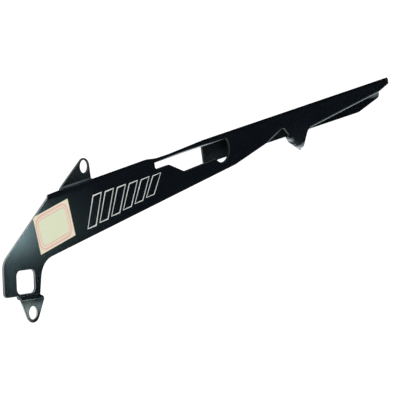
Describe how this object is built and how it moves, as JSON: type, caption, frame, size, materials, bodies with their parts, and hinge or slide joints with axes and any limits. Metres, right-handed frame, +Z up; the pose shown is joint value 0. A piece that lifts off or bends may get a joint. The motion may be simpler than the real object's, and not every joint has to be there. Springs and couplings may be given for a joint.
{
  "type": "motorcycle chain guard",
  "caption": "Long tapering guard plate folded from one sheet, with a channelled top edge, cut-out windows, two bolt tabs and a locating foot.",
  "frame": {"origin": "centre of the top bolt hole, on the tab's inner mounting face", "axes": "+X along the top fold towards the pointed nose, +Y inwards to the wheel, +Z up"},
  "size_m": [0.4701, 0.014, 0.0873],
  "materials": {
    "black_anodised": "gloss black anodised sheet, bare silver where it is engraved",
    "label_paper": "matt cream paper with a printed border"
  },
  "bodies": {
    "root": {"chain_guard": "black_anodised", "paper_label": "label_paper"}
  },
  "joints": []
}
